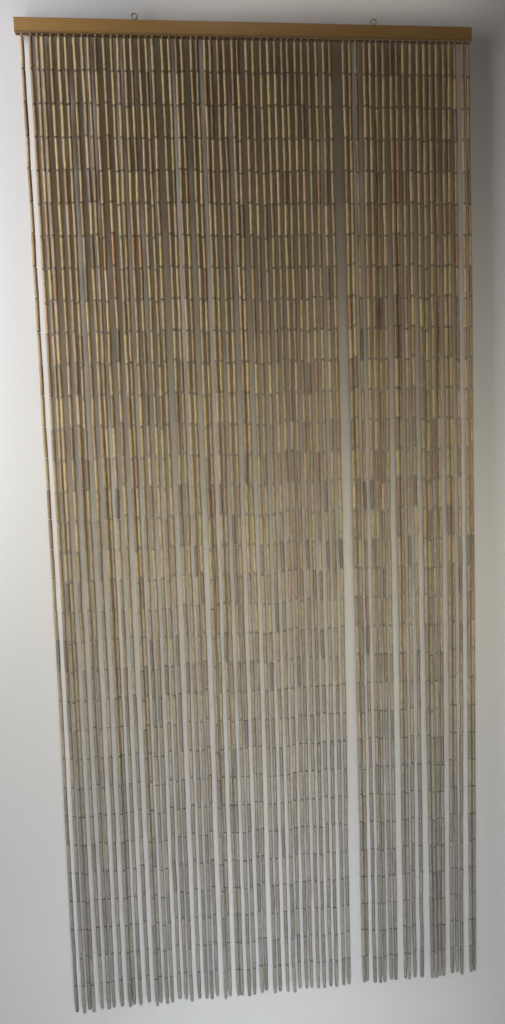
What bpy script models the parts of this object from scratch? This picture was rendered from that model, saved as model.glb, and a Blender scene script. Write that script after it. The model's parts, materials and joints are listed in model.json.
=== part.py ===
# Bamboo bead door curtain: 64 strands of bamboo tubes hung from a wooden header bar by two screw eyes.
# Metres, +Z up. X runs along the bar, the front is -Y and the wall side +Y. The origin is midway along
# the bar, level with the inside top of the two eyes, where the hooks that carry it bear.

import math
import random

import bmesh
import bpy
from mathutils import Matrix, Vector

# Header bar
BAR_LENGTH = 0.900
BAR_HEIGHT = 0.027
BAR_THICKNESS = 0.014
BAR_EDGE_ROUND = 0.002

# Screw eyes: each ring stands above the bar on a shank that sits in a pilot hole
EYE_PLACES = {"screw_eye_left": -0.222, "screw_eye_right": 0.250}  # along the bar, as hung
EYE_WIRE = 0.0023
EYE_INNER_RADIUS = 0.0042
EYE_CENTRE_ABOVE_BAR = 0.009
SHANK_DEPTH = 0.0145
RING_STEPS = 28
WIRE_SIDES = 10

# Strands of bamboo tubes
STRANDS = 64
STRANDS_IN_GROUP = 16
FIRST_STRAND = -0.4375  # along the bar
PITCH = 0.0139
STRANDS_BEFORE_GAP = 44
WIDE_GAP = 0.028  # centre to centre, where one strand is missing
PITCH_AFTER_GAP = 0.0134
DROP = 2.022  # from the top of the bar to the mean hem
STRAND_WIDTH = 0.0066  # a square section with the area of a 7.5 mm round tube
CORD_WIDTH = 0.0016
CORD_SHOWING = 0.005  # bare cord between the bar and the first tube
LEAST_SPACING = 0.0082  # centre to centre, where strands hang side by side
ROUTE_STEPS = 11

# The strip along which the strands' roots are fused, let into a groove under the bar
STRIP_HEIGHT = 0.003
STRIP_THICKNESS = 0.004
STRIP_OVERHANG = 0.0035  # past the outermost strand's root
GROOVE_END = 0.003  # solid wood left at each end of the bar

GAP = 0.0003  # between neighbouring pieces

# How unevenly the strands hang. Shifts along the bar are read at four stations down the drop.
STATIONS = (0.0, 0.25, 0.55, 1.0)
UNEVEN_PLACE = 0.0022  # of a whole strand
UNEVEN_ALONG = (0.0, 0.0007, 0.0010, 0.0015)
UNEVEN_DEPTH = (0.0006, 0.0014, 0.0018, 0.0026)
UNEVEN_END = 0.0045
HEM_DRIFT = -0.0065  # the strands lean this far towards -X at the hem
HEM_DRIFT_BY_STATION = (0.0, 0.15, 0.45, 1.0)
SEED = 64

# Strands that hang further out of line: strand, then its shift along the bar at each station
OUT_OF_LINE = (
    (0, 0.0000, -0.0005, -0.0005, -0.0045),
    (1, 0.0025, 0.0025, 0.0020, -0.0025),
    (2, 0.0010, 0.0005, -0.0015, -0.0045),
    (3, -0.0030, -0.0040, -0.0070, -0.0110),
    (8, 0.0025, 0.0025, 0.0020, -0.0015),
    (9, 0.0000, -0.0015, -0.0035, -0.0075),
    (12, 0.0025, 0.0030, 0.0030, 0.0005),
    (13, 0.0010, -0.0030, -0.0050, -0.0060),
    (19, 0.0025, 0.0035, 0.0005, -0.0045),
    (23, 0.0035, 0.0030, 0.0020, -0.0030),
    (30, -0.0025, -0.0055, -0.0045, -0.0105),
    (43, 0.0000, 0.0005, -0.0010, -0.0070),
    (44, 0.0000, 0.0015, 0.0020, 0.0000),
    (45, -0.0015, -0.0025, -0.0015, -0.0060),
    (46, -0.0025, -0.0020, -0.0020, -0.0025),
    (48, 0.0000, 0.0000, -0.0030, -0.0060),
    (50, 0.0000, -0.0025, -0.0055, -0.0080),
    (51, 0.0020, 0.0035, 0.0030, 0.0010),
    (54, 0.0020, 0.0000, 0.0000, -0.0010),
    (55, 0.0025, 0.0045, 0.0065, 0.0085),
    (56, 0.0030, 0.0030, 0.0020, 0.0035),
    (57, 0.0025, 0.0025, 0.0000, -0.0015),
    (59, 0.0030, 0.0040, 0.0050, 0.0010),
    (60, 0.0015, -0.0005, -0.0005, -0.0005),
    (61, 0.0000, 0.0020, 0.0030, -0.0030),
    (62, 0.0035, 0.0060, 0.0075, 0.0040),
    (63, 0.0000, 0.0030, 0.0020, -0.0010),
)

RING_CENTRE_Z = -EYE_INNER_RADIUS
BAR_TOP = RING_CENTRE_Z - EYE_CENTRE_ABOVE_BAR
BAR_BOTTOM = BAR_TOP - BAR_HEIGHT
FIRST_TUBE_TOP = BAR_BOTTOM - CORD_SHOWING
HEM = BAR_TOP - DROP


def clear_scene():
    for old in list(bpy.data.objects):
        bpy.data.objects.remove(old, do_unlink=True)


def make_material(name, colour, roughness, metallic=0.0):
    material = bpy.data.materials.new(name)
    material.use_nodes = True
    shader = material.node_tree.nodes["Principled BSDF"]
    shader.inputs["Base Color"].default_value = (*colour, 1.0)
    shader.inputs["Roughness"].default_value = roughness
    shader.inputs["Metallic"].default_value = metallic
    return material


def add_object(name, bm, material=None):
    """Turns the bmesh into a named object in the scene."""
    mesh = bpy.data.meshes.new(name)
    bm.to_mesh(mesh)
    bm.free()
    obj = bpy.data.objects.new(name, mesh)
    bpy.context.scene.collection.objects.link(obj)
    if material:
        mesh.materials.append(material)
    return obj


def box(name, low, high, material=None):
    bm = bmesh.new()
    low, high = Vector(low), Vector(high)
    placed = Matrix.Translation((low + high) / 2) @ Matrix.Diagonal((*(high - low), 1.0))
    bmesh.ops.create_cube(bm, size=1.0, matrix=placed)
    return add_object(name, bm, material)


def rod(name, radius, centre, bottom, top, sides):
    """An upright cylinder, its faces out."""
    bm = bmesh.new()
    bmesh.ops.create_cone(
        bm, cap_ends=True, segments=sides, radius1=radius, radius2=radius, depth=top - bottom,
        matrix=Matrix.Translation((centre[0], centre[1], (bottom + top) / 2)),
    )
    return add_object(name, bm)


def helper(obj):
    """A shape that only cuts or joins another one."""
    obj.hide_render = True
    obj.display_type = "WIRE"
    return obj


def boolean(obj, operation, other):
    modifier = obj.modifiers.new(other.name, "BOOLEAN")
    modifier.operation = operation
    modifier.object = helper(other)


def header_bar():
    """The wooden bar, its edges eased, with a pilot hole for each eye and a groove for the strands' strip."""
    wood = make_material("header_wood", (0.33, 0.19, 0.075), 0.42)
    half = BAR_LENGTH / 2
    bar = box(
        "header_bar", (-half, -BAR_THICKNESS / 2, BAR_BOTTOM), (half, BAR_THICKNESS / 2, BAR_TOP), wood
    )
    ease = bar.modifiers.new("eased_edges", "BEVEL")
    ease.width = BAR_EDGE_ROUND
    ease.segments = 3
    groove_half_length = half - GROOVE_END
    groove_half_width = STRIP_THICKNESS / 2 + GAP
    groove = box(
        "groove_cutter",
        (-groove_half_length, -groove_half_width, BAR_BOTTOM - BAR_HEIGHT),
        (groove_half_length, groove_half_width, BAR_BOTTOM + STRIP_HEIGHT + GAP),
    )
    boolean(bar, "DIFFERENCE", groove)
    for name, along in EYE_PLACES.items():
        pilot = rod(
            f"{name}_pilot_cutter", EYE_WIRE / 2 + GAP, (along, 0.0),
            BAR_TOP - SHANK_DEPTH - GAP, BAR_TOP + BAR_HEIGHT, WIRE_SIDES + 2,
        )
        boolean(bar, "DIFFERENCE", pilot)
    return bar


def screw_eye(name, along, metal):
    """A closed ring facing the front, joined to the shank that holds it in the bar."""
    ring_radius = EYE_INNER_RADIUS / math.cos(math.pi / RING_STEPS) + EYE_WIRE / 2
    bm = bmesh.new()
    bmesh.ops.create_circle(
        bm, segments=WIRE_SIDES, radius=EYE_WIRE / 2,
        matrix=Matrix.Translation((along + ring_radius, 0.0, RING_CENTRE_Z)),
    )
    bmesh.ops.rotate(
        bm, verts=bm.verts, cent=(along + ring_radius, 0.0, RING_CENTRE_Z),
        matrix=Matrix.Rotation(math.pi / WIRE_SIDES, 3, "Z"),
    )
    bmesh.ops.spin(
        bm, geom=bm.verts[:] + bm.edges[:], cent=(along, 0.0, RING_CENTRE_Z), axis=(0.0, 1.0, 0.0),
        angle=math.tau, steps=RING_STEPS, use_merge=True, use_duplicate=False,
    )
    bmesh.ops.remove_doubles(bm, verts=bm.verts, dist=0.00001)
    bmesh.ops.recalc_face_normals(bm, faces=bm.faces)
    eye = add_object(name, bm, metal)
    shank = rod(
        f"{name}_shank", EYE_WIRE / 2, (along, 0.0),
        BAR_TOP - SHANK_DEPTH, RING_CENTRE_Z - ring_radius, WIRE_SIDES,
    )
    boolean(eye, "UNION", shank)
    return eye


def between_stations(values, share):
    """The value at a share of the drop, eased from each station to the next."""
    for i in range(len(STATIONS) - 1):
        if share <= STATIONS[i + 1] or i == len(STATIONS) - 2:
            part = min(1.0, (share - STATIONS[i]) / (STATIONS[i + 1] - STATIONS[i]))
            eased = part * part * (3 - 2 * part)
            return values[i] + (values[i + 1] - values[i]) * eased


def even_place(strand):
    """Where a strand would be tied along the bar if it were in line."""
    past_gap = strand - STRANDS_BEFORE_GAP
    if past_gap < 0:
        return FIRST_STRAND + strand * PITCH
    return FIRST_STRAND + (STRANDS_BEFORE_GAP - 1) * PITCH + WIDE_GAP + past_gap * PITCH_AFTER_GAP


def hang_strands():
    """Each strand's places along the bar, its places in depth, both by station, and its end height."""
    rng = random.Random(SEED)
    out_of_line = {row[0]: row[1:] for row in OUT_OF_LINE}
    hung = []
    for strand in range(STRANDS):
        place = rng.uniform(-1, 1) * UNEVEN_PLACE
        chance = [rng.uniform(-1, 1) for _ in STATIONS]
        depth = [rng.uniform(-1, 1) * most for most in UNEVEN_DEPTH]
        end = HEM + rng.uniform(-1, 1) * UNEVEN_END
        shift = [
            place + HEM_DRIFT * lean + side * most
            for lean, side, most in zip(HEM_DRIFT_BY_STATION, chance, UNEVEN_ALONG)
        ]
        along = [even_place(strand) + move for move in out_of_line.get(strand, shift)]
        if hung:
            along = [max(x, left + LEAST_SPACING) for x, left in zip(along, hung[-1][0])]
        hung.append((along, depth, end))
    return hung


def strand_sections(along, depth, end):
    """The strand's centres and widths, from its root in the strip down to its end."""
    root = BAR_BOTTOM + STRIP_HEIGHT / 2
    first = Vector((along[0], 0.0, 0.0))
    sections = [
        (first + Vector((0, 0, root)), CORD_WIDTH),
        (first + Vector((0, 0, FIRST_TUBE_TOP)), CORD_WIDTH),
    ]
    for step in range(ROUTE_STEPS + 1):
        share = step / ROUTE_STEPS
        z = FIRST_TUBE_TOP - CORD_WIDTH / 2 + (end - FIRST_TUBE_TOP) * share
        y = between_stations(depth, share) if step else 0.0
        sections.append((Vector((between_stations(along, share), y, z)), STRAND_WIDTH))
    return sections


def loft_square(bm, sections):
    """A four-sided strand through the sections, closed at both ends."""
    loops = []
    for centre, width in sections:
        half = width / 2
        corners = ((-half, -half), (half, -half), (half, half), (-half, half))
        loops.append([bm.verts.new(centre + Vector((x, y, 0))) for x, y in corners])
    for upper, lower in zip(loops, loops[1:]):
        for i in range(4):
            j = (i + 1) % 4
            bm.faces.new((lower[i], lower[j], upper[j], upper[i]))
    bm.faces.new(loops[0])
    bm.faces.new(reversed(loops[-1]))


def strip_end(strand):
    """Where one strip ends and the next begins: midway between a strand's root and the one before it."""
    if strand == 0:
        return even_place(0) - STRIP_OVERHANG
    if strand == STRANDS:
        return even_place(STRANDS - 1) + STRIP_OVERHANG
    return (even_place(strand - 1) + even_place(strand)) / 2


def strand_group(number, strands, bamboo):
    """A run of strands with their roots fused into one strip in the bar's groove."""
    strip = box(
        f"strand_group_{number}",
        (strip_end((number - 1) * STRANDS_IN_GROUP) + GAP / 2, -STRIP_THICKNESS / 2, BAR_BOTTOM),
        (strip_end(number * STRANDS_IN_GROUP) - GAP / 2, STRIP_THICKNESS / 2, BAR_BOTTOM + STRIP_HEIGHT),
        bamboo,
    )
    bm = bmesh.new()
    for along, depth, end in strands:
        loft_square(bm, strand_sections(along, depth, end))
    boolean(strip, "UNION", add_object(f"strands_{number}", bm))
    return strip


def build():
    clear_scene()
    header_bar()
    metal = make_material("eye_metal", (0.42, 0.40, 0.36), 0.35, 1.0)
    for name, along in EYE_PLACES.items():
        eye = screw_eye(name, along, metal)
        eye.data.shade_smooth()
    bamboo = make_material("strand_bamboo", (0.36, 0.26, 0.15), 0.5)
    strands = hang_strands()
    for number in range(1, STRANDS // STRANDS_IN_GROUP + 1):
        first = (number - 1) * STRANDS_IN_GROUP
        strand_group(number, strands[first:first + STRANDS_IN_GROUP], bamboo)


build()
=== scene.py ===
# Bamboo bead door curtain: tubes threaded on knotted cords, hung from a varnished bar by two screw eyes.
# Metres, +Z up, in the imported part's own frame: the front is -Y, the back +Y.
import json
import math
import random

import bmesh
import bpy
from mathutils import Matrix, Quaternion, Vector

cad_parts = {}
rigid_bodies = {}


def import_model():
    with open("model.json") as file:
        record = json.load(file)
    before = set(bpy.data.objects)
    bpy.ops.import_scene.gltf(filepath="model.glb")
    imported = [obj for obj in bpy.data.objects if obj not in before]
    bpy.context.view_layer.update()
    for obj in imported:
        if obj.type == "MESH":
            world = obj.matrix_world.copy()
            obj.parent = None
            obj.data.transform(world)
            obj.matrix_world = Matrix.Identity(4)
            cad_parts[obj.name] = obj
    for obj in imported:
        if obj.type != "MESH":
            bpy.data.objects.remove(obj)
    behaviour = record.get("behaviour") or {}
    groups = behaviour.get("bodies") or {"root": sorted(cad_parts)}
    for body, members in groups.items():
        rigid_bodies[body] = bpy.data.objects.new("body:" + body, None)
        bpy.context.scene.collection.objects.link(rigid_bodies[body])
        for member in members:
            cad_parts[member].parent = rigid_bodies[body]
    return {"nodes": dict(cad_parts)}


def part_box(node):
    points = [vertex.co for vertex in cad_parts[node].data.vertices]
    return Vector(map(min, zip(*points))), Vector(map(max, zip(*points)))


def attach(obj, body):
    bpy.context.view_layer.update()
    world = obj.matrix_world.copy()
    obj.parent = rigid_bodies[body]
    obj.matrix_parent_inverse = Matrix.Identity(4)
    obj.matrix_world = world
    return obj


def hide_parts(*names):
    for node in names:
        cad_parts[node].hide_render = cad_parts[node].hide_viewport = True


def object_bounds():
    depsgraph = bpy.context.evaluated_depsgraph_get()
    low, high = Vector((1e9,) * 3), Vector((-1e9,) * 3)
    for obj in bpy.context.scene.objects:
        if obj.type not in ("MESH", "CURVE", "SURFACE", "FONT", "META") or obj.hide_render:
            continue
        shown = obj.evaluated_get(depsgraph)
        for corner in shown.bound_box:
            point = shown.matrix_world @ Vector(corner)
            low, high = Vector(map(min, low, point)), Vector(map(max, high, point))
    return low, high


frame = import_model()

scene = bpy.context.scene
cadLow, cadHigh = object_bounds()
barLow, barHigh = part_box("header_bar")
groupNames = sorted(name for name in frame["nodes"] if name.startswith("strand_group"))
eyeNames = sorted(name for name in frame["nodes"] if name.startswith("screw_eye"))
mm = 0.001


# Small helpers for objects and nodes

def addObject(name, mesh, *materials):
    obj = bpy.data.objects.new(name, mesh)
    scene.collection.objects.link(obj)
    for material in materials:
        mesh.materials.append(material)
    return obj


def bmeshObject(name, bm, *materials):
    mesh = bpy.data.meshes.new(name)
    bm.to_mesh(mesh)
    bm.free()
    return addObject(name, mesh, *materials)


def settle(obj, smoothAngle=None):
    # The object's modifiers are made part of its mesh, and then removed.
    graph = bpy.context.evaluated_depsgraph_get()
    done = bpy.data.meshes.new_from_object(obj.evaluated_get(graph))
    done.name = obj.name
    obj.modifiers.clear()
    obj.data = done
    if smoothAngle is not None:
        done.shade_smooth()
        done.set_sharp_from_angle(angle=math.radians(smoothAngle))


def openSocket(sockets, name):
    if isinstance(name, int):
        return sockets[name]
    return next(s for s in sockets if s.name == name and s.enabled)


def feed(tree, socket, value):
    # Gives an input its value, or the socket that drives it. A colour may come without its alpha.
    if isinstance(value, bpy.types.NodeSocket):
        tree.links.new(value, socket)
    elif socket.type == "RGBA" and len(value) == 3:
        socket.default_value = (*value, 1.0)
    else:
        socket.default_value = value


def put(tree, kind, feeds=None, **settings):
    # Adds a node with its settings and what feeds each of its inputs.
    node = tree.nodes.new(kind)
    column, row = divmod(len(tree.nodes), 4)
    node.location = (220 * column, -240 * row)
    for name, value in settings.items():
        setattr(node, name, value)
    for name, value in (feeds or {}).items():
        feed(tree, openSocket(node.inputs, name), value)
    return node


def result(node):
    return next(s for s in node.outputs if s.enabled)


def calc(tree, operation, first, second=0.0):
    return result(put(tree, "ShaderNodeMath", {0: first, 1: second}, operation=operation))


def vectorCalc(tree, operation, first, second):
    return result(put(tree, "ShaderNodeVectorMath", {0: first, 1: second}, operation=operation))


def combined(tree, x, y, z):
    return result(put(tree, "ShaderNodeCombineXYZ", {"X": x, "Y": y, "Z": z}))


def spread(tree, value, fromLow, fromHigh, toLow=0.0, toHigh=1.0, smooth=False):
    kind = "SMOOTHSTEP" if smooth else "LINEAR"
    feeds = {"Value": value, "From Min": fromLow, "From Max": fromHigh, "To Min": toLow, "To Max": toHigh}
    return result(put(tree, "ShaderNodeMapRange", feeds, interpolation_type=kind, clamp=True))


def scaled(tree, share, low, high):
    # A share of 0 to 1 as a value between low and high.
    return spread(tree, share, 0.0, 1.0, low, high)


def newTree(name, kind, inputs, outputs):
    # A node group with named inputs (name, socket type, value) and outputs.
    tree = bpy.data.node_groups.new(name, kind)
    for label, socketType, value in inputs:
        socket = tree.interface.new_socket(label, in_out="INPUT", socket_type=socketType)
        if value is not None:
            socket.default_value = value
    for label, socketType in outputs:
        tree.interface.new_socket(label, in_out="OUTPUT", socket_type=socketType)
    return tree, put(tree, "NodeGroupInput").outputs


def endTree(tree, feeds):
    put(tree, "NodeGroupOutput", feeds)
    return tree


def addNodesModifier(obj, tree, values):
    modifier = obj.modifiers.new(tree.name, "NODES")
    modifier.node_group = tree
    for item in tree.interface.items_tree:
        if item.in_out == "INPUT" and item.name in values:
            modifier[item.identifier] = values[item.name]


# Camera

cameraSetup = {
    "place": (-0.1295, -1.5031, -0.8673),  # metres, its height from the bar's top edge
    "turn": (5.202, -5.041, -1.875),  # degrees: to the right, up, and about the view
    "lens": 25.5,
    "film": 36.0,
    "shift": (-0.01615, 0.01774),
}


def placeCamera():
    setup = cameraSetup
    data = bpy.data.cameras.new("camera")
    data.sensor_fit = "VERTICAL"
    data.sensor_height = setup["film"]
    data.lens = setup["lens"]
    data.shift_x, data.shift_y = setup["shift"]
    yaw, pitch, roll = (math.radians(a) for a in setup["turn"])
    forward = Vector((math.sin(yaw) * math.cos(pitch), math.cos(yaw) * math.cos(pitch), math.sin(pitch)))
    camera = bpy.data.objects.new("camera", data)
    camera.location = Vector(setup["place"]) + Vector((0, 0, barHigh.z))
    camera.rotation_mode = "QUATERNION"
    camera.rotation_quaternion = forward.to_track_quat("-Z", "Y") @ Quaternion((0, 0, 1), roll)
    scene.collection.objects.link(camera)
    scene.camera = camera


placeCamera()
print("camera placed")


# Effects that more than one material uses

fibrePattern = {
    "fine weight": 0.6,
    "broad weight": 0.4,
    "broad scale": 0.31,
    "streak range": (0.32, 0.68),
    "fleck range": (0.60, 0.74),
}
agingPattern = {
    "blotch range": (0.34, 0.66),
    "worn by": 1.1,  # the edge mask and noise together at which a place is rubbed through
}


def fibreGroup():
    # Fine streaks that run along local Z, as in bamboo skin, sawn wood and twisted cord.
    pattern = fibrePattern
    tree, given = newTree("fibre streaks", "ShaderNodeTree", (
        ("Place", "NodeSocketVector", None),
        ("Fineness", "NodeSocketFloat", 900.0),
        ("Length", "NodeSocketFloat", 30.0),
    ), (("Streak", "NodeSocketFloat"), ("Fleck", "NodeSocketFloat")))
    across = given["Fineness"]
    along = calc(tree, "DIVIDE", across, given["Length"])
    drawnOut = vectorCalc(tree, "MULTIPLY", given["Place"], combined(tree, across, across, along))
    fine = put(tree, "ShaderNodeTexNoise", {
        "Vector": drawnOut, "Scale": 1.0, "Detail": 4.0, "Roughness": 0.62,
    })
    broad = put(tree, "ShaderNodeTexNoise", {
        "Vector": drawnOut, "Scale": pattern["broad scale"], "Detail": 2.0,
    })
    both = calc(tree, "ADD", calc(tree, "MULTIPLY", fine.outputs[0], pattern["fine weight"]),
                calc(tree, "MULTIPLY", broad.outputs[0], pattern["broad weight"]))
    fleck = spread(tree, fine.outputs[0], *pattern["fleck range"], smooth=True)
    return endTree(tree, {"Streak": spread(tree, both, *pattern["streak range"]), "Fleck": fleck})


def agingGroup():
    # Handling and dust: blotches all over, and rubbed places where an edge mask is high. On the bamboo this
    # edge mask places painted joint shade along with end dirt.
    pattern = agingPattern
    tree, given = newTree("aging", "ShaderNodeTree", (
        ("Place", "NodeSocketVector", None),
        ("Blotch Scale", "NodeSocketFloat", 60.0),
        ("Edge", "NodeSocketFloat", 0.0),
        ("Rub", "NodeSocketFloat", 0.5),
    ), (("Blotch", "NodeSocketFloat"), ("Worn", "NodeSocketFloat")))
    cloud = put(tree, "ShaderNodeTexNoise", {
        "Vector": given["Place"], "Scale": given["Blotch Scale"], "Detail": 5.0, "Roughness": 0.6,
    })
    broken = calc(tree, "ADD", given["Edge"], calc(tree, "SUBTRACT", cloud.outputs[0], 0.5))
    worn = spread(tree, broken, calc(tree, "SUBTRACT", 1.0, given["Rub"]), pattern["worn by"], smooth=True)
    blotch = spread(tree, cloud.outputs[0], *pattern["blotch range"], smooth=True)
    return endTree(tree, {"Blotch": blotch, "Worn": worn})


fibres = fibreGroup()
aging = agingGroup()


def newMaterial(name):
    material = bpy.data.materials.new(name)
    material.use_nodes = True
    return material, material.node_tree, material.node_tree.nodes["Principled BSDF"]


def useGroup(tree, group, feeds):
    node = put(tree, "ShaderNodeGroup", node_tree=group)
    for name, value in feeds.items():
        feed(tree, node.inputs[name], value)
    return node.outputs


def mixColour(tree, mask, first, second, blend="MIX"):
    feeds = {"Factor": mask, "A": first, "B": second}
    node = put(tree, "ShaderNodeMix", data_type="RGBA", blend_type=blend)
    for name, value in feeds.items():
        feed(tree, openSocket(node.inputs, name), value)
    return result(node)


def tinged(tree, mask, amount, colour, other):
    # The colour, mixed towards another by a mask times an amount.
    return mixColour(tree, calc(tree, "MULTIPLY", mask, amount), colour, other)


def shaded(tree, colour, shade):
    return mixColour(tree, 1.0, colour, combined(tree, shade, shade, shade), "MULTIPLY")


def ramp(tree, value, stops):
    node = put(tree, "ShaderNodeValToRGB", {"Fac": value})
    elements = node.color_ramp.elements
    elements.remove(elements[-1])
    elements[0].position, elements[0].color = stops[0][0], (*stops[0][1], 1.0)
    for place, colour in stops[1:]:
        elements.new(place).color = (*colour, 1.0)
    return node.outputs["Color"]


def bump(tree, height, depth):
    return result(put(tree, "ShaderNodeBump", {"Height": height, "Strength": 1.0, "Distance": depth}))


def objectPlace(tree):
    return put(tree, "ShaderNodeTexCoord").outputs["Object"]


def setCoat(shader, weight, roughness):
    shader.inputs["Coat Weight"].default_value = weight
    shader.inputs["Coat Roughness"].default_value = roughness


def attribute(tree, name, output="Fac"):
    return put(tree, "ShaderNodeAttribute", attribute_name=name).outputs[output]


# Bamboo

bambooFinish = {
    "tints": (  # the share of tubes up to each, and its colour
        (0.00, (0.45, 0.330, 0.175)),
        (0.22, (0.44, 0.330, 0.155)),
        (0.40, (0.39, 0.305, 0.140)),
        (0.55, (0.45, 0.325, 0.200)),
        (0.70, (0.38, 0.265, 0.135)),
        (0.84, (0.33, 0.222, 0.115)),
        (0.95, (0.23, 0.152, 0.085)),
        (0.985, (0.38, 0.220, 0.100)),
    ),
    "bleached and daylit": (0.275, 0.27, 0.255),  # the greyer, darker colour the skin turns to at the hem: partly fading, partly painted daylight and shade
    "bleaching and daylight": 0.85,
    "tone range": (0.82, 1.16),  # from the darkest tube to the lightest
    "streak fineness": 1500.0,
    "streak length": 26.0,
    "streak range": (0.84, 1.14),
    "blotch scale": 95.0,
    "blotch range": (0.86, 1.08),
    "end zone": (0.88, 0.98),  # where a tube's darkened end (painted joint shade and end dirt) begins and is full, in shares of its half length
    "end darkening reach": 0.40,
    "joint shade and end dirt": (0.12, 0.08, 0.045),
    "joint shade and end dirt amount": 0.85,
    "fleck": (0.15, 0.10, 0.055),
    "fleck amount": 0.45,
    # The bore colour is painted shade: the hollow is a shallow recess, darkened as a deep bore's shade would
    # be.
    "bore": (0.12, 0.09, 0.06),
    "bore edge": (0.46, 0.60),  # in shares of the tube's radius
    "roughness": (0.36, 0.62),
    "relief": 0.12 * mm,
    "coat": (0.12, 0.28),  # weight and roughness
}
fadeAndDaylightStart = 0.28  # the share of the drop at which the strands begin to turn greyer, from fading and painted daylight


def fadeAndDaylight(tree, most):
    # How far a strand has turned towards its hem colour at this height, which is partly fading and partly
    # painted daylight and shade.
    height = put(tree, "ShaderNodeSeparateXYZ", {"Vector": objectPlace(tree)}).outputs["Z"]
    start = barLow.z + fadeAndDaylightStart * (cadLow.z - barLow.z)
    return spread(tree, height, start, cadLow.z, 0.0, most, smooth=True)


def bambooMaterial():
    finish = bambooFinish
    material, tree, shader = newMaterial("bamboo skin")
    number = attribute(tree, "tubeNumber")
    local = attribute(tree, "onTube", "Vector")
    place = vectorCalc(tree, "ADD", local, combined(tree, number, number, number))
    streaks = useGroup(tree, fibres, {
        "Place": place, "Fineness": finish["streak fineness"], "Length": finish["streak length"],
    })
    fromMiddle = calc(tree, "ABSOLUTE", calc(tree, "SUBTRACT", attribute(tree, "along"), 0.5))
    nearEnd = spread(tree, calc(tree, "MULTIPLY", fromMiddle, 2.0), *finish["end zone"], smooth=True)
    aged = useGroup(tree, aging, {
        "Place": place, "Blotch Scale": finish["blotch scale"], "Edge": nearEnd, "Rub": finish["end darkening reach"],
    })
    # Painted daylight and shade, with real fading: the skin turns greyer and darker towards the hem.
    fadedAndDaylit = fadeAndDaylight(tree, finish["bleaching and daylight"])
    colour = mixColour(tree, fadedAndDaylit, ramp(tree, attribute(tree, "tint"), finish["tints"]), finish["bleached and daylit"])
    shade = calc(tree, "MULTIPLY", scaled(tree, attribute(tree, "tone"), *finish["tone range"]),
                 scaled(tree, streaks["Streak"], *finish["streak range"]))
    shade = calc(tree, "MULTIPLY", shade, scaled(tree, aged["Blotch"], *finish["blotch range"]))
    colour = shaded(tree, colour, shade)
    colour = tinged(tree, streaks["Fleck"], finish["fleck amount"], colour, finish["fleck"])
    # Painted shade at the joints, with some end dirt: the tube ends darken, most near the bar and not at all
    # at the hem.
    jointShadeAndDirt = calc(tree, "SUBTRACT", finish["joint shade and end dirt amount"], fadedAndDaylit)
    colour = tinged(tree, aged["Worn"], jointShadeAndDirt, colour, finish["joint shade and end dirt"])
    # Painted shade inside the bore.
    outsideBore = spread(tree, attribute(tree, "fromAxis"), *finish["bore edge"])
    colour = mixColour(tree, outsideBore, finish["bore"], colour)
    smooth, rough = finish["roughness"]
    feed(tree, shader.inputs["Base Color"], colour)
    feed(tree, shader.inputs["Roughness"], scaled(tree, streaks["Streak"], rough, smooth))
    feed(tree, shader.inputs["Normal"], bump(tree, streaks["Streak"], finish["relief"]))
    setCoat(shader, *finish["coat"])
    return material


cordFinish = {
    "colours": ((0.0, (0.40, 0.34, 0.26)), (1.0, (0.58, 0.51, 0.41))),
    "twist fineness": 2600.0,
    "twist length": 3.0,
    "blotch scale": 40.0,
    "edge": 0.2,
    "rub": 0.6,
    "dirt": (0.27, 0.22, 0.16),
    "dirt amount": 0.5,
    "fadedAndDaylit": (0.46, 0.45, 0.42),
    "fadeAndDaylight": 0.7,
    "roughness": 0.82,
    "relief": 0.15 * mm,
}


def cordMaterial():
    finish = cordFinish
    material, tree, shader = newMaterial("waxed cord")
    place = objectPlace(tree)
    twist = useGroup(tree, fibres, {
        "Place": place, "Fineness": finish["twist fineness"], "Length": finish["twist length"],
    })
    aged = useGroup(tree, aging, {
        "Place": place, "Blotch Scale": finish["blotch scale"], "Edge": finish["edge"], "Rub": finish["rub"],
    })
    colour = ramp(tree, twist["Streak"], finish["colours"])
    colour = tinged(tree, aged["Blotch"], finish["dirt amount"], colour, finish["dirt"])
    # Partly fading, partly painted daylight: the cord turns a lighter grey towards the hem.
    colour = mixColour(tree, fadeAndDaylight(tree, finish["fadeAndDaylight"]), colour, finish["fadedAndDaylit"])
    feed(tree, shader.inputs["Base Color"], colour)
    feed(tree, shader.inputs["Normal"], bump(tree, twist["Streak"], finish["relief"]))
    feed(tree, shader.inputs["Roughness"], finish["roughness"])
    return material


# Strands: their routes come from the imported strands, and each is shared out into tubes

strandSetup = {
    "tubes": 32,
    "gap": 2.0 * mm,  # between tubes, where the cord shows
    "uneven length": 1.1 * mm,
    "sway": 0.5 * mm,  # how far a joint hangs off the strand's line
    "sway spread": 0.6,  # of the chance, in shares of the sway
    "tip": 0.35 * mm,  # how far a tube's end leans off the cord
    "tube width": 7.5 * mm,
    "width spread": 0.07,
    "root height": 1.6 * mm,  # of the knotted cord end, in the bar's groove
    "root knot": 1.5,  # knot sizes are in shares of the usual knot
    "joint knots": (0.8, 1.1),
    "end knot": 1.35,
    "end knot below": 0.8 * mm,  # the last tube
    "corners": 4,  # of a packed strand's section
    "same point": 0.001 * mm,
    "seed": 5,
}


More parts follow.
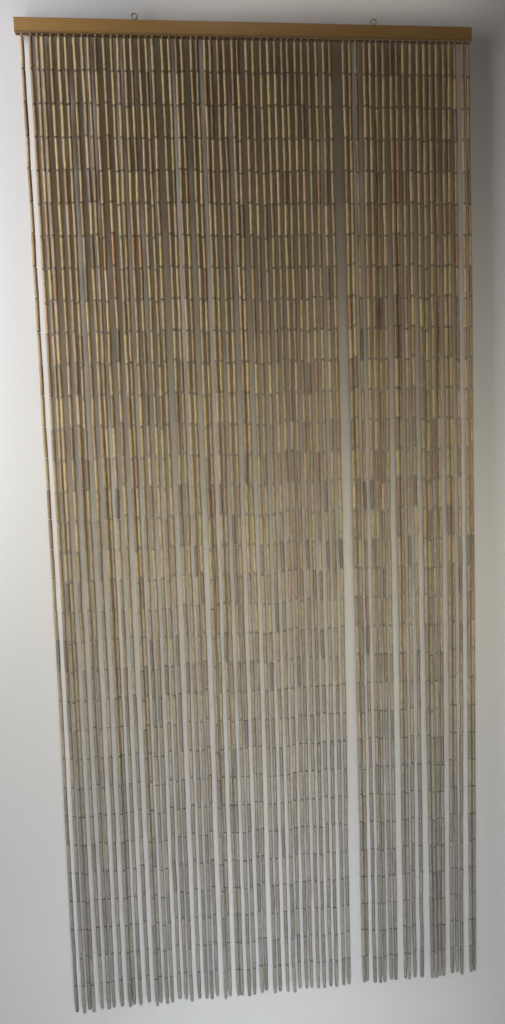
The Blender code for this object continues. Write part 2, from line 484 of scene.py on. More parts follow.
def strandRoutes(nodeName):
    # The centre line of each strand of a packed group, from its cord's top to its end.
    setup = strandSetup
    bm = bmesh.new()
    bm.from_mesh(frame["nodes"][nodeName].data)
    bmesh.ops.remove_doubles(bm, verts=bm.verts, dist=setup["same point"])
    inBar = [v for v in bm.verts if v.co.z > barLow.z - 0.1 * mm]
    bmesh.ops.delete(bm, geom=inBar, context="VERTS")
    corners = setup["corners"]
    routes = []
    seen = set()
    for first in bm.verts:  # in the mesh's own order, which is the same in every run
        if first in seen:
            continue
        seen.add(first)
        island = [first]
        for vert in island:
            for edge in vert.link_edges:
                other = edge.other_vert(vert)
                if other not in seen:
                    seen.add(other)
                    island.append(other)
        island.sort(key=lambda v: -v.co.z)
        sections = [island[i:i + corners] for i in range(0, len(island), corners)]
        routes.append([sum((v.co for v in four), Vector()) / corners for four in sections])
    bm.free()
    return sorted(routes, key=lambda r: r[0].x)


def placeAt(route, z):
    # Where the strand's line passes a height.
    for upper, lower in zip(route, route[1:]):
        if z >= lower.z or lower is route[-1]:
            share = (upper.z - z) / max(upper.z - lower.z, 1e-9)
            return upper.lerp(lower, share)
    return route[-1].copy()


def sharedOut(rng, total, count, uneven):
    # Lengths of the tubes of one strand, with their gaps, which add up to its drop.
    lengths = [1.0 + rng.gauss(0, uneven / (total / count)) for _ in range(count)]
    return [length * total / sum(lengths) for length in lengths]


def roomAt(routes, index, z):
    # How far a strand's tubes may hang out of line before they meet a neighbour's.
    here = placeAt(routes[index], z)
    beside = [placeAt(routes[i], z) for i in (index - 1, index + 1) if 0 <= i < len(routes)]
    wide = strandSetup["tube width"] * (1 + strandSetup["width spread"])
    return max(0.0, min(math.hypot(there.x - here.x, there.y - here.y) for there in beside) - wide) / 2


def hangTubes(routes):
    # For each strand: its tubes as pairs of ends, and its cord as places with the size of the knot there.
    setup = strandSetup
    rng = random.Random(setup["seed"])
    hung = []
    for index, route in enumerate(routes):
        top, bottom = route[0].z, route[-1].z
        lengths = sharedOut(rng, top - bottom + setup["gap"], setup["tubes"], setup["uneven length"])
        root = Vector((route[0].x, 0.0, barLow.z + setup["root height"]))
        cord = [(root, setup["root knot"]), (Vector((route[0].x, 0.0, barLow.z)), 0.0)]
        tubes = []
        z = top
        sway = Vector()
        for number, length in enumerate(lengths):
            foot = z - length + setup["gap"]
            ends = []
            for height in (z, foot):
                free = min(1.0, roomAt(routes, index, height) / setup["sway"])
                if height == foot:
                    wide = setup["sway spread"]
                    sway = Vector((rng.gauss(0, wide), rng.gauss(0, wide), 0)) * setup["sway"] * free
                tip = Vector((rng.uniform(-1, 1), rng.uniform(-1, 1), 0)) * setup["tip"] * free
                ends.append(placeAt(route, height) + sway + tip)
            tubes.append(tuple(ends))
            cord += [(end, 0.0) for end in ends]
            if number < setup["tubes"] - 1:
                knotSize, drop = rng.uniform(*setup["joint knots"]), setup["gap"] / 2
            else:
                knotSize, drop = setup["end knot"], setup["end knot below"]
            cord.append((placeAt(route, foot) + sway - Vector((0, 0, drop)), knotSize))
            z -= length
        hung.append((tubes, cord))
    return hung


# Tube shapes, one turned outline each, in shares of the tube's radius and length

tubeShapes = {
    "sides": 10,
    "bore": 0.42,
    "bore depth": 0.030,
    "rounding": (0.10, 0.006),  # at the cut edges: across, along
    "usual length": 60 * mm,  # for the skin's pattern
    "smooth angle": 40,
    "forms": (  # name, rings between the ends as (share along, share of the radius), bow, oval
        ("tube1straight", (), 0.0, 1.00),
        ("tube2tapered", ((-0.05, 0.955),), 0.0, 1.04),
        ("tube3bowed", ((0.0, 0.99),), 0.16, 1.05),
        ("tube4noded", ((0.235, 0.97), (0.262, 1.10), (0.290, 1.00)), 0.0, 1.02),
        ("tube5noded", ((-0.345, 1.00), (-0.318, 1.08), (-0.290, 0.95)), 0.06, 1.00),
    ),
}


def skinBetween(bm, rings):
    # Faces between each ring of points and the next.
    for lower, upper in zip(rings, rings[1:]):
        for i in range(len(lower)):
            j = (i + 1) % len(lower)
            bm.faces.new((lower[i], lower[j], upper[j], upper[i]))


def turned(name, outline, sides, bow=0.0, oval=1.0):
    # A closed shape turned about Z.
    bm = bmesh.new()
    rings = []
    for along, radius in outline:
        ring = []
        for i in range(sides):
            angle = math.tau * i / sides
            x = radius * math.cos(angle) * oval + bow * (1 - (2 * along) ** 2)
            ring.append(bm.verts.new((x, radius * math.sin(angle) / oval, along)))
        rings.append(ring)
    skinBetween(bm, rings)
    bm.faces.new(reversed(rings[0]))
    bm.faces.new(rings[-1])
    bmesh.ops.recalc_face_normals(bm, faces=bm.faces)
    return bmeshObject(name, bm)


def storePoints(mesh, name, kind, values):
    layer = mesh.attributes.new(name, kind, "POINT")
    key = "vector" if kind == "FLOAT_VECTOR" else "value"
    flat = [n for v in values for n in v] if kind == "FLOAT_VECTOR" else list(values)
    layer.data.foreach_set(key, flat)


def tubeCollection():
    # The tube's forms, with what their material needs to know kept as attributes.
    shapes = tubeShapes
    deep, bore = shapes["bore depth"], shapes["bore"]
    across, along = shapes["rounding"]
    halfWidth = strandSetup["tube width"] / 2
    realSize = Vector((halfWidth, halfWidth, shapes["usual length"]))
    collection = bpy.data.collections.new("tube shapes")
    for name, middle, bow, oval in shapes["forms"]:
        head = [(-0.5 + deep, bore), (-0.5, bore), (-0.5, 1 - across), (-0.5 + along, 1.0)]
        tail = [(-z, radius) for z, radius in reversed(head)]
        obj = turned(name, head + list(middle) + tail, shapes["sides"], bow, oval)
        scene.collection.objects.unlink(obj)
        collection.objects.link(obj)
        points = [v.co for v in obj.data.vertices]
        storePoints(obj.data, "along", "FLOAT", [p.z + 0.5 for p in points])
        storePoints(obj.data, "fromAxis", "FLOAT", [math.hypot(p.x, p.y) for p in points])
        storePoints(obj.data, "onTube", "FLOAT_VECTOR", [p * realSize for p in points])
    return collection


tubeChances = {  # what is added to a group's seed for each draw
    "turn": 1, "width": 2, "odd": 3, "form": 4, "tint": 5, "tone": 6, "tubeNumber": 7,
}


def threadedTubesTree():
    # A tube on every edge of the input mesh, each with its own turn, width, shape and tint.
    tree, given = newTree("threaded tubes", "GeometryNodeTree", (
        ("Geometry", "NodeSocketGeometry", None),
        ("Tube Shapes", "NodeSocketCollection", None),
        ("Shape Count", "NodeSocketInt", 5),
        ("Odd Share", "NodeSocketFloat", 0.45),
        ("Tube Radius", "NodeSocketFloat", 3.7 * mm),
        ("Radius Spread", "NodeSocketFloat", 0.07),
        ("Seed", "NodeSocketInt", 1),
        ("Bamboo", "NodeSocketMaterial", None),
    ), (("Geometry", "NodeSocketGeometry"),))

    def chance(draw, low, high, kind="FLOAT"):
        seed = calc(tree, "ADD", given["Seed"], float(tubeChances[draw]))
        feeds = {"Min": low, "Max": high, "Seed": seed}
        return result(put(tree, "FunctionNodeRandomValue", feeds, data_type=kind))

    ends = put(tree, "GeometryNodeInputMeshEdgeVertices").outputs
    kept = put(tree, "GeometryNodeCaptureAttribute", domain="EDGE")
    kept.capture_items.new("VECTOR", "run")
    feed(tree, kept.inputs["Geometry"], given["Geometry"])
    feed(tree, kept.inputs["run"], vectorCalc(tree, "SUBTRACT", ends["Position 1"], ends["Position 2"]))
    points = put(tree, "GeometryNodeMeshToPoints", {"Mesh": kept.outputs["Geometry"]}, mode="EDGES")
    length = put(tree, "ShaderNodeVectorMath", {0: kept.outputs["run"]}, operation="LENGTH").outputs["Value"]
    upright = result(put(tree, "FunctionNodeAlignRotationToVector", {"Vector": kept.outputs["run"]},
                         axis="Z"))
    spin = result(put(tree, "FunctionNodeAxisAngleToRotation", {"Angle": chance("turn", 0.0, math.tau)}))
    turn = result(put(tree, "FunctionNodeRotateRotation", {"Rotation": upright, "Rotate By": spin},
                      rotation_space="LOCAL"))
    low = calc(tree, "SUBTRACT", 1.0, given["Radius Spread"])
    high = calc(tree, "ADD", 1.0, given["Radius Spread"])
    radius = calc(tree, "MULTIPLY", given["Tube Radius"], chance("width", low, high))
    shapes = result(put(tree, "GeometryNodeCollectionInfo", {
        "Collection": given["Tube Shapes"], "Separate Children": True, "Reset Children": True,
    }))
    last = calc(tree, "SUBTRACT", given["Shape Count"], 1.0)
    seed = calc(tree, "ADD", given["Seed"], float(tubeChances["odd"]))
    isOdd = result(put(tree, "FunctionNodeRandomValue", {"Probability": given["Odd Share"], "Seed": seed},
                       data_type="BOOLEAN"))
    pick = result(put(tree, "GeometryNodeSwitch", {
        "Switch": isOdd, "False": 0, "True": chance("form", 1, last, "INT"),
    }, input_type="INT"))
    placed = result(put(tree, "GeometryNodeInstanceOnPoints", {
        "Points": result(points), "Instance": shapes, "Pick Instance": True, "Instance Index": pick,
        "Rotation": turn, "Scale": combined(tree, radius, radius, length),
    }))
    for name, most in (("tint", 1.0), ("tone", 1.0), ("tubeNumber", 9.0)):
        placed = result(put(tree, "GeometryNodeStoreNamedAttribute", {
            "Geometry": placed, "Name": name, "Value": chance(name, 0.0, most),
        }, data_type="FLOAT", domain="INSTANCE"))
    whole = result(put(tree, "GeometryNodeRealizeInstances", {"Geometry": placed}))
    finished = put(tree, "GeometryNodeSetMaterial", {"Geometry": whole, "Material": given["Bamboo"]})
    return endTree(tree, {"Geometry": result(finished)})


def knottedCordsTree():
    # A thin round cord along the input lines, with a knot at each point whose knot size isn't zero.
    tree, given = newTree("knotted cords", "GeometryNodeTree", (
        ("Geometry", "NodeSocketGeometry", None),
        ("Knot Shape", "NodeSocketObject", None),
        ("Cord Radius", "NodeSocketFloat", 0.5 * mm),
        ("Cord Sides", "NodeSocketInt", 6),
        ("Knot Radius", "NodeSocketFloat", 1.4 * mm),
        ("Least Knot", "NodeSocketFloat", 0.01),
        ("Seed", "NodeSocketInt", 1),
        ("Cord", "NodeSocketMaterial", None),
    ), (("Geometry", "NodeSocketGeometry"),))
    line = result(put(tree, "GeometryNodeMeshToCurve", {"Mesh": given["Geometry"]}))
    ring = result(put(tree, "GeometryNodeCurvePrimitiveCircle", {
        "Resolution": given["Cord Sides"], "Radius": given["Cord Radius"],
    }))
    cord = result(put(tree, "GeometryNodeCurveToMesh", {
        "Curve": line, "Profile Curve": ring, "Fill Caps": True,
    }))
    knotSize = result(put(tree, "GeometryNodeInputNamedAttribute", {"Name": "knotSize"}, data_type="FLOAT"))
    tied = result(put(tree, "FunctionNodeCompare", {"A": knotSize, "B": given["Least Knot"]},
                      operation="GREATER_THAN"))
    points = result(put(tree, "GeometryNodeMeshToPoints", {"Mesh": given["Geometry"], "Selection": tied},
                        mode="VERTICES"))
    angle = result(put(tree, "FunctionNodeRandomValue", {"Min": 0.0, "Max": math.tau, "Seed": given["Seed"]},
                       data_type="FLOAT"))
    spin = result(put(tree, "FunctionNodeAxisAngleToRotation", {"Angle": angle}))
    across = calc(tree, "MULTIPLY", knotSize, given["Knot Radius"])
    shape = put(tree, "GeometryNodeObjectInfo", {"Object": given["Knot Shape"]}).outputs["Geometry"]
    knots = result(put(tree, "GeometryNodeInstanceOnPoints", {
        "Points": points, "Instance": shape, "Rotation": spin,
        "Scale": combined(tree, across, across, across),
    }))
    joined = put(tree, "GeometryNodeJoinGeometry")
    tree.links.new(cord, joined.inputs[0])
    tree.links.new(knots, joined.inputs[0])
    whole = result(put(tree, "GeometryNodeRealizeInstances", {"Geometry": result(joined)}))
    smooth = result(put(tree, "GeometryNodeSetShadeSmooth", {"Geometry": whole}))
    finished = put(tree, "GeometryNodeSetMaterial", {"Geometry": smooth, "Material": given["Cord"]})
    return endTree(tree, {"Geometry": result(finished)})


knotShape = {
    "sides": 7,
    "outline": (  # height and radius
        (-1.25, 0.42), (-0.95, 0.86), (-0.35, 1.0), (0.05, 0.74), (0.45, 0.98), (1.0, 0.78), (1.25, 0.42),
    ),
    "lean": 0.28,  # how far the wraps lie aslant
}


def knotObject():
    # Two wraps of cord, aslant.
    obj = turned("knot shape", knotShape["outline"], knotShape["sides"])
    for vert in obj.data.vertices:
        vert.co.z += knotShape["lean"] * vert.co.x
    return obj


def linesObject(name, runs):
    # Loose edges through each run of places.
    verts, edges = [], []
    for run in runs:
        start = len(verts)
        verts += run
        edges += [(start + i, start + i + 1) for i in range(len(run) - 1)]
    mesh = bpy.data.meshes.new(name)
    mesh.from_pydata(verts, edges, [])
    return addObject(name, mesh)


groupSeeds = {"step": 100, "cords": 50}  # a group's seed is its number times the step; its cords add to that


def strandGroups():
    bamboo, cordSkin = bambooMaterial(), cordMaterial()
    routesByGroup = [strandRoutes(name) for name in groupNames]
    hung = hangTubes([route for routes in routesByGroup for route in routes])
    shapes, knot = tubeCollection(), knotObject()
    tubesTree, cordsTree = threadedTubesTree(), knottedCordsTree()
    start = 0
    for number, (nodeName, routes) in enumerate(zip(groupNames, routesByGroup), 1):
        strands = hung[start:start + len(routes)]
        start += len(routes)
        seed = groupSeeds["step"] * number
        tubes = linesObject(f"bamboo_tubes_{number}", [pair for tubes, _ in strands for pair in tubes])
        addNodesModifier(tubes, tubesTree, {
            "Tube Shapes": shapes, "Shape Count": len(tubeShapes["forms"]), "Seed": seed, "Bamboo": bamboo,
            "Tube Radius": strandSetup["tube width"] / 2, "Radius Spread": strandSetup["width spread"],
        })
        settle(tubes, smoothAngle=tubeShapes["smooth angle"])
        cords = linesObject(f"cords_{number}", [[place for place, _ in cord] for _, cord in strands])
        storePoints(cords.data, "knotSize", "FLOAT", [size for _, cord in strands for _, size in cord])
        addNodesModifier(cords, cordsTree, {
            "Knot Shape": knot, "Seed": seed + groupSeeds["cords"], "Cord": cordSkin,
        })
        settle(cords)
        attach(tubes, "root")
        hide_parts(nodeName)
        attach(cords, "root")
        print("strands", number, "with", len(tubes.data.polygons), "and", len(cords.data.polygons), "faces")
    for obj in [*shapes.objects, knot]:
        bpy.data.objects.remove(obj)
    bpy.data.collections.remove(shapes)


strandGroups()


# Header bar

barShape = {
    "edge radius": 1.3 * mm,
    "edge steps": 4,
    "groove half width": 2.3 * mm,
    "groove depth": 3.3 * mm,
    "groove end": 3.0 * mm,  # solid wood left at each end
    "cutter below": 5 * mm,  # how far the groove's cutter reaches out of the bar
    "smooth angle": 35,
}
woodFinish = {
    "early": (0.44, 0.265, 0.095),
    "late": (0.30, 0.155, 0.048),
    "late wood": (0.35, 0.95),  # where in each growth ring it begins and is full
    "ring spacing": 2.6 * mm,
    "heart behind": 19 * mm,  # the growth rings' centre, from the bar's middle
    "heart below": 31 * mm,
    "ring sway": 6 * mm,
    "sway scale": 38.0,
    "sway along": 0.07,  # how slowly the rings sway along the bar
    "streak fineness": 1400.0,
    "streak length": 60.0,
    "streak range": (0.86, 1.10),
    "dark line": (0.16, 0.075, 0.025),
    "dark line amount": 0.5,
    "edge zone": (0.4 * mm, 2.2 * mm),  # from the edge: fully worn, and not worn
    "edge rub": 0.25,
    "blotch scale": 26.0,
    "blotch amount": 0.16,
    "worn": (0.46, 0.33, 0.17),
    "worn amount": 0.3,
    "painted lower shade": (0.15, 0.085, 0.035),  # painted shade along the lower edge, where less light falls
    "painted lower shade height": 5 * mm,
    "painted lower shade amount": 0.75,
    "dust": (0.45, 0.40, 0.32),
    "dust depth": 0.6 * mm,
    "dust amount": 0.35,
    "roughness": (0.30, 0.48),
    "worn roughness": 0.2,  # added where the varnish is worn
    "relief": 0.10 * mm,
    "ring relief": 0.5,
    "coat": (0.35, 0.22),  # weight and roughness
}


def growthRings(tree, upended):
    # How far each place is into the late wood of its growth ring; Z runs along the bar.
    finish = woodFinish
    slow = vectorCalc(tree, "MULTIPLY", upended, (1.0, 1.0, finish["sway along"]))
    noise = put(tree, "ShaderNodeTexNoise", {"Vector": slow, "Scale": finish["sway scale"], "Detail": 2.0})
    sway = vectorCalc(tree, "MULTIPLY", noise.outputs[1], (finish["ring sway"], finish["ring sway"], 0.0))
    flat = vectorCalc(tree, "MULTIPLY", vectorCalc(tree, "ADD", upended, sway), (1.0, 1.0, 0.0))
    fromHeart = put(tree, "ShaderNodeVectorMath", {0: flat}, operation="LENGTH").outputs["Value"]
    turn = calc(tree, "FRACT", calc(tree, "DIVIDE", fromHeart, finish["ring spacing"]))
    return spread(tree, turn, *finish["late wood"], smooth=True)


def nearBarEdge(tree, parts):
    # 1 at the bar's edges. On a face one distance is nil, so the edge is as near as the middle of the three.
    worn, sound = woodFinish["edge zone"]
    middle, half = (barLow + barHigh) / 2, (barHigh - barLow) / 2
    fromFace = calc(tree, "SUBTRACT", half.y, calc(tree, "ABSOLUTE", parts["Y"]))
    fromMiddle = calc(tree, "ABSOLUTE", calc(tree, "SUBTRACT", parts["Z"], middle.z))
    fromTop = calc(tree, "SUBTRACT", half.z, fromMiddle)
    fromEnd = calc(tree, "SUBTRACT", half.x, calc(tree, "ABSOLUTE", parts["X"]))
    least = calc(tree, "MINIMUM", calc(tree, "MAXIMUM", fromFace, fromTop),
                 calc(tree, "MAXIMUM", calc(tree, "MINIMUM", fromFace, fromTop), fromEnd))
    return spread(tree, least, worn, sound, 1.0, 0.0, smooth=True)


def woodMaterial():
    finish = woodFinish
    material, tree, shader = newMaterial("varnished header wood")
    place = objectPlace(tree)
    heart = (0.0, finish["heart behind"], (barLow.z + barHigh.z) / 2 - finish["heart below"])
    centred = vectorCalc(tree, "SUBTRACT", place, heart)
    upended = result(put(tree, "ShaderNodeMapping", {"Vector": centred, "Rotation": (0.0, math.pi / 2, 0.0)}))
    late = growthRings(tree, upended)
    streaks = useGroup(tree, fibres, {
        "Place": upended, "Fineness": finish["streak fineness"], "Length": finish["streak length"],
    })
    colour = mixColour(tree, late, finish["early"], finish["late"])
    colour = shaded(tree, colour, scaled(tree, streaks["Streak"], *finish["streak range"]))
    colour = tinged(tree, streaks["Fleck"], finish["dark line amount"], colour, finish["dark line"])
    parts = put(tree, "ShaderNodeSeparateXYZ", {"Vector": place}).outputs
    aged = useGroup(tree, aging, {
        "Place": place, "Blotch Scale": finish["blotch scale"], "Edge": nearBarEdge(tree, parts),
        "Rub": finish["edge rub"],
    })
    colour = tinged(tree, aged["Worn"], finish["worn amount"], colour, finish["worn"])
    colour = tinged(tree, aged["Blotch"], finish["blotch amount"], colour, finish["late"])
    # Painted shade: the wood darkens towards the bar's lower edge.
    nearBottom = spread(tree, parts["Z"], barLow.z + finish["painted lower shade height"], barLow.z, smooth=True)
    colour = tinged(tree, nearBottom, finish["painted lower shade amount"], colour, finish["painted lower shade"])
    onTop = spread(tree, parts["Z"], barHigh.z - finish["dust depth"], barHigh.z)
    colour = tinged(tree, onTop, finish["dust amount"], colour, finish["dust"])
    dull = calc(tree, "ADD", scaled(tree, aged["Blotch"], *finish["roughness"]),
                calc(tree, "MULTIPLY", aged["Worn"], finish["worn roughness"]))
    relief = calc(tree, "SUBTRACT", streaks["Streak"], calc(tree, "MULTIPLY", late, finish["ring relief"]))
    feed(tree, shader.inputs["Base Color"], colour)
    feed(tree, shader.inputs["Roughness"], dull)
    feed(tree, shader.inputs["Normal"], bump(tree, relief, finish["relief"]))
    setCoat(shader, *finish["coat"])
    return material


def boxBmesh(low, high):
    bm = bmesh.new()
    bmesh.ops.create_cube(bm, size=1.0)
    for vert in bm.verts:
        for axis in range(3):
            vert.co[axis] = high[axis] if vert.co[axis] > 0 else low[axis]
    return bm


def headerBar():
    shape = barShape
    bm = boxBmesh(barLow, barHigh)
    bmesh.ops.bevel(bm, geom=bm.edges[:], offset=shape["edge radius"], segments=shape["edge steps"],
                    profile=0.5, affect="EDGES")
    bar = bmeshObject("header_bar_wood", bm, woodMaterial())
    grooveLow = Vector((barLow.x + shape["groove end"], -shape["groove half width"],
                        barLow.z - shape["cutter below"]))
    grooveHigh = Vector((barHigh.x - shape["groove end"], shape["groove half width"],
                         barLow.z + shape["groove depth"]))
    cutter = bmeshObject("groove cutter", boxBmesh(grooveLow, grooveHigh))
    cut = bar.modifiers.new("groove", "BOOLEAN")
    cut.operation = "DIFFERENCE"
    cut.object = cutter
    settle(bar, smoothAngle=shape["smooth angle"])
    even = bar.modifiers.new("even shading", "WEIGHTED_NORMAL")
    even.keep_sharp = True
    settle(bar)
    bpy.data.objects.remove(cutter)
    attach(bar, "root")
    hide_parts("header_bar")


headerBar()
print("header bar made")


# Screw eyes

eyeShape = {
    "wire": 2.3 * mm,
    "join": 1.1 * mm,  # straight wire left between the ring and the bar
    "ring from": -62.0,  # degrees, where the shank's bend runs into the ring
    "ring to": 236.0,
    "sides": 14,
    "ring steps": 56,
    "bend steps": 8,
    "bend reach": 0.45,  # how far the bend's ends run straight on
    "cut end": (0.93, 0.72),  # the wire's last two rings, in shares of its radius
    "thread pitch": 1.1 * mm,
    "thread depth": 0.32 * mm,
    "thread sharpness": 1.5,
    "thread root": 0.6,  # the share of its depth that is cut into the wire
    "thread below": 0.2 * mm,  # the bar's top
    "thread fade": 1.0 * mm,
    "thread steps": 110,
    "point": 2.6 * mm,
    "point width": 0.12,
    "smooth angle": 50,
}
metalFinish = {
    "bright": (0.50, 0.47, 0.42),
    "dull": (0.24, 0.21, 0.17),
    "blotch scale": 700.0,
    "edge": 0.3,
    "rub": 0.7,
    "streak fineness": 2500.0,
    "streak length": 4.0,
    "roughness": (0.28, 0.55),
    "relief": 0.04 * mm,
}


def metalMaterial():
    finish = metalFinish
    material, tree, shader = newMaterial("dull plated wire")
    place = objectPlace(tree)
    aged = useGroup(tree, aging, {
        "Place": place, "Blotch Scale": finish["blotch scale"], "Edge": finish["edge"], "Rub": finish["rub"],
    })
    drawn = useGroup(tree, fibres, {
        "Place": place, "Fineness": finish["streak fineness"], "Length": finish["streak length"],
    })
    feed(tree, shader.inputs["Base Color"], mixColour(tree, aged["Blotch"], finish["bright"], finish["dull"]))
    feed(tree, shader.inputs["Roughness"], scaled(tree, aged["Blotch"], *finish["roughness"]))
    feed(tree, shader.inputs["Normal"], bump(tree, drawn["Streak"], finish["relief"]))
    feed(tree, shader.inputs["Metallic"], 1.0)
    return material


def sweptInPlane(bm, path, radii, sides, rise):
    # A round wire along a path that lies in the XZ plane; rise gives what a ring's radius gains at an angle.
    rings = []
    side = Vector((0, 1, 0))
    for i, (place, radius) in enumerate(zip(path, radii)):
        before, after = path[max(i - 1, 0)], path[min(i + 1, len(path) - 1)]
        normal = (after - before).normalized().cross(side)
        ring = []
        for k in range(sides):
            angle = math.tau * k / sides
            out = radius + rise(place, angle)
            ring.append(bm.verts.new(place + (normal * math.cos(angle) + side * math.sin(angle)) * out))
        rings.append(ring)
    skinBetween(bm, rings)
    bm.faces.new(rings[0])
    bm.faces.new(rings[-1])


def eyePath(centre, ringRadius, neck, foot):
    # Up the shank, through a bend and round the open ring.
    shape = eyeShape
    first, last = math.radians(shape["ring from"]), math.radians(shape["ring to"])

    def onRing(angle):
        return centre + Vector((math.cos(angle), 0, math.sin(angle))) * ringRadius

    path = [foot.lerp(neck, i / shape["thread steps"]) for i in range(shape["thread steps"] + 1)]
    meet, heading = onRing(first), Vector((-math.sin(first), 0, math.cos(first)))
    reach = (meet - neck).length * shape["bend reach"]
    controls = (neck, neck + Vector((0, 0, reach)), meet - heading * reach, meet)
    for i in range(1, shape["bend steps"]):
        t = i / shape["bend steps"]
        weights = ((1 - t) ** 3, 3 * t * (1 - t) ** 2, 3 * t * t * (1 - t), t ** 3)
        path.append(sum((c * w for c, w in zip(controls, weights)), Vector()))
    steps = shape["ring steps"]
    return path + [onRing(first + (last - first) * i / steps) for i in range(steps + 1)]


def screwEye(nodeName, metal):
    shape = eyeShape
    low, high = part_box(nodeName)
    wire = shape["wire"] / 2
    ringRadius = (high.x - low.x) / 2 - wire
    centre = Vector(((low.x + high.x) / 2, 0.0, high.z - ringRadius - wire))
    neck = centre - Vector((0, 0, ringRadius + shape["join"]))
    foot = Vector((centre.x, 0.0, low.z))
    path = eyePath(centre, ringRadius, neck, foot)
    threadTop = barHigh.z - shape["thread below"]

    def threadRise(place, angle):
        if place.z > threadTop or (place - foot).length > (neck - foot).length:
            return 0.0
        phase = (place.z - foot.z) / shape["thread pitch"] - angle / math.tau
        crest = max(0.0, math.cos(math.tau * phase)) ** shape["thread sharpness"]
        pointed = min(1.0, (place.z - foot.z) / shape["point"])
        runOut = min(1.0, (threadTop - place.z) / shape["thread fade"])
        return shape["thread depth"] * (crest - shape["thread root"]) * runOut * pointed

    steps = shape["thread steps"]
    shares = [shape["point width"] + (place.z - foot.z) / shape["point"] for place in path[:steps]]
    radii = [wire * min(1.0, share) for share in shares] + [wire] * (len(path) - steps)
    radii[-2:] = [wire * share for share in shape["cut end"]]
    bm = bmesh.new()
    sweptInPlane(bm, path, radii, shape["sides"], threadRise)
    bmesh.ops.recalc_face_normals(bm, faces=bm.faces)
    eye = bmeshObject(f"{nodeName}_wire", bm, metal)
    eye.data.shade_smooth()
    eye.data.set_sharp_from_angle(angle=math.radians(shape["smooth angle"]))
    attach(eye, "root")
    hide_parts(nodeName)


metal = metalMaterial()
for eyeName in eyeNames:
    screwEye(eyeName, metal)
print("screw eyes made")


# Floor, backdrop and light

stageSetup = {
    "backdrop behind": 15 * mm,  # the bar's middle
    "floor below": 160 * mm,  # the hem
    "backdrop size": (3.6, 2.9),
    "floor size": (5.0, 4.0),
    "backdrop colour": (0.74, 0.735, 0.74),
    "floor colour": (0.66, 0.65, 0.64),
    "cloud scale": 2.5,
    "cloud shade": 0.94,
    "roughness": 0.8,
}


def stageMaterial(name, colour):
    # Plain paint that shows from its front only and shades nothing, so the curtain's back is seen and lit.
    setup = stageSetup
    material, tree, shader = newMaterial(name)
    cloud = put(tree, "ShaderNodeTexNoise", {
        "Vector": objectPlace(tree), "Scale": setup["cloud scale"], "Detail": 4.0,
    })
    faint = tuple(c * setup["cloud shade"] for c in colour)
    feed(tree, shader.inputs["Base Color"], mixColour(tree, cloud.outputs[0], colour, faint))
    feed(tree, shader.inputs["Roughness"], setup["roughness"])
    clear = put(tree, "ShaderNodeBsdfTransparent")
    back = put(tree, "ShaderNodeNewGeometry").outputs["Backfacing"]
    unseen = calc(tree, "MAXIMUM", back, put(tree, "ShaderNodeLightPath").outputs["Is Shadow Ray"])
    mixed = put(tree, "ShaderNodeMixShader", {0: unseen, 1: shader.outputs[0], 2: clear.outputs[0]})
    feed(tree, tree.nodes["Material Output"].inputs["Surface"], mixed.outputs[0])
    return material


def plane(name, corners, material):
    mesh = bpy.data.meshes.new(name)
    mesh.from_pydata(corners, [], [(0, 1, 2, 3)])
    addObject(name, mesh, material)


def stage():
    setup = stageSetup
    floorZ, behindY = cadLow.z - setup["floor below"], setup["backdrop behind"]
    width, height = setup["backdrop size"]
    left, right, top = -width / 2, width / 2, floorZ + height
    plane("backdrop", [(left, behindY, floorZ), (right, behindY, floorZ),
                       (right, behindY, top), (left, behindY, top)],
          stageMaterial("backdrop paint", setup["backdrop colour"]))
    width, depth = setup["floor size"]
    left, right, frontY = -width / 2, width / 2, behindY - depth
    plane("floor", [(left, frontY, floorZ), (right, frontY, floorZ),
                    (right, behindY, floorZ), (left, behindY, floorZ)],
          stageMaterial("floor paint", setup["floor colour"]))


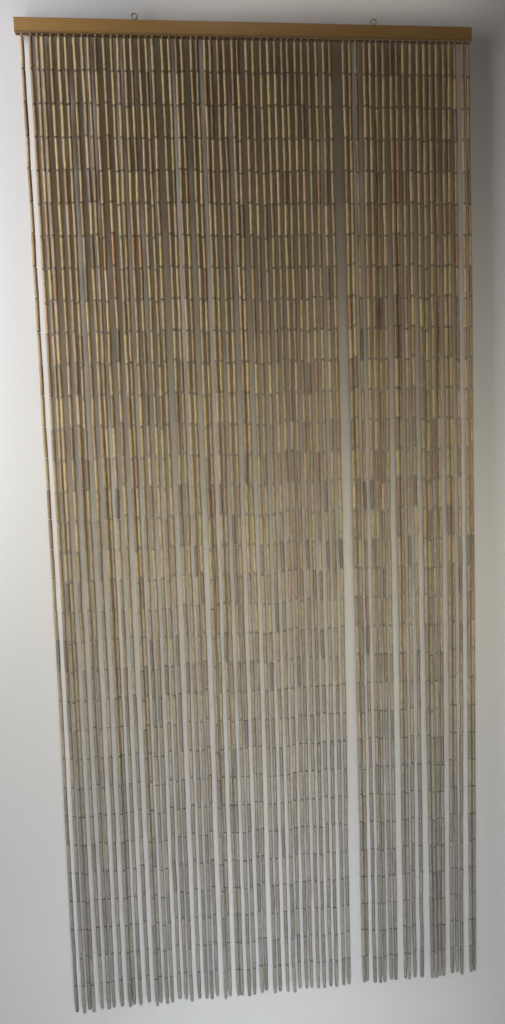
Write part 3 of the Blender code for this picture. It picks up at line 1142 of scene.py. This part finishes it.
lights = {  # place, what it faces, width and height, spread in degrees, watts, colour
    "left": ((-0.94, -0.385, -0.25), (-0.2, 0.0, -0.25), (0.2, 1.45), 180, 8.8, (0.99, 0.99, 1.0)),
    "far left": ((-1.4, -0.55, -0.95), (-0.1, 0.0, -0.95), (0.3, 0.8), 180, 2.2, (0.97, 0.98, 1.0)),
    "low left": ((-1.4, -0.5, -1.75), (-0.1, 0.0, -1.75), (0.3, 0.6), 180, 2.4, (0.93, 0.96, 1.0)),
    "right": ((1.4, -0.42, -1.05), (0.1, 0.0, -1.05), (0.3, 0.9), 180, 2.8, (1.0, 0.95, 0.90)),
    "right wash": ((1.6, -0.6, -0.35), (0.85, 0.015, -0.35), (0.2, 1.0), 44, 0.35, (1.0, 0.98, 0.96)),
    "low front fill": ((-0.06, -1.15, -1.98), (-0.02, 0.0, -1.95), (0.5, 0.3), 105, 2.5, (0.84, 0.92, 1.0)),
    "warm front fill": ((-0.05, -1.25, -1.9), (0.05, 0.0, -1.85), (0.6, 0.4), 110, 0.9, (1.0, 0.86, 0.64)),
    "middle fill": ((0.0, -1.1, -1.2), (0.0, 0.0, -1.1), (1.4, 0.3), 76, 1.3, (1.0, 0.95, 0.72)),
    "upper fill": ((0.0, -1.3, -0.55), (0.0, 0.0, -0.55), (1.2, 0.3), 110, 0.3, (1.0, 0.76, 0.48)),
    "above the bar": ((0.2, -1.0, 0.45), (0.15, 0.0, 0.15), (0.6, 0.06), 18, 0.2, (1.0, 0.88, 0.75)),
    "behind": ((0.6, 1.5, -0.7), (0.0, 0.0, -1.0), (1.0, 1.2), 180, 5.0, (1.0, 0.98, 0.95)),
}


def addLight(name, place, facing, size, spreadAngle, watts, colour):
    data = bpy.data.lights.new(name, "AREA")
    data.shape = "RECTANGLE"
    data.size, data.size_y = size
    data.spread = math.radians(spreadAngle)
    data.energy = watts
    data.color = colour
    light = bpy.data.objects.new(name, data)
    light.location = place
    light.rotation_euler = (Vector(facing) - Vector(place)).to_track_quat("-Z", "Y").to_euler()
    light.visible_camera = False
    scene.collection.objects.link(light)


def lightScene():
    for name, values in lights.items():
        addLight(name, *values)
    # The lights are all there is: the surroundings give none.
    world = bpy.data.worlds.new("surroundings")
    world.use_nodes = True
    world.node_tree.nodes["Background"].inputs["Strength"].default_value = 0.0
    scene.world = world
    scene.view_settings.view_transform = "Standard"


stage()
lightScene()
print("stage and lights set")
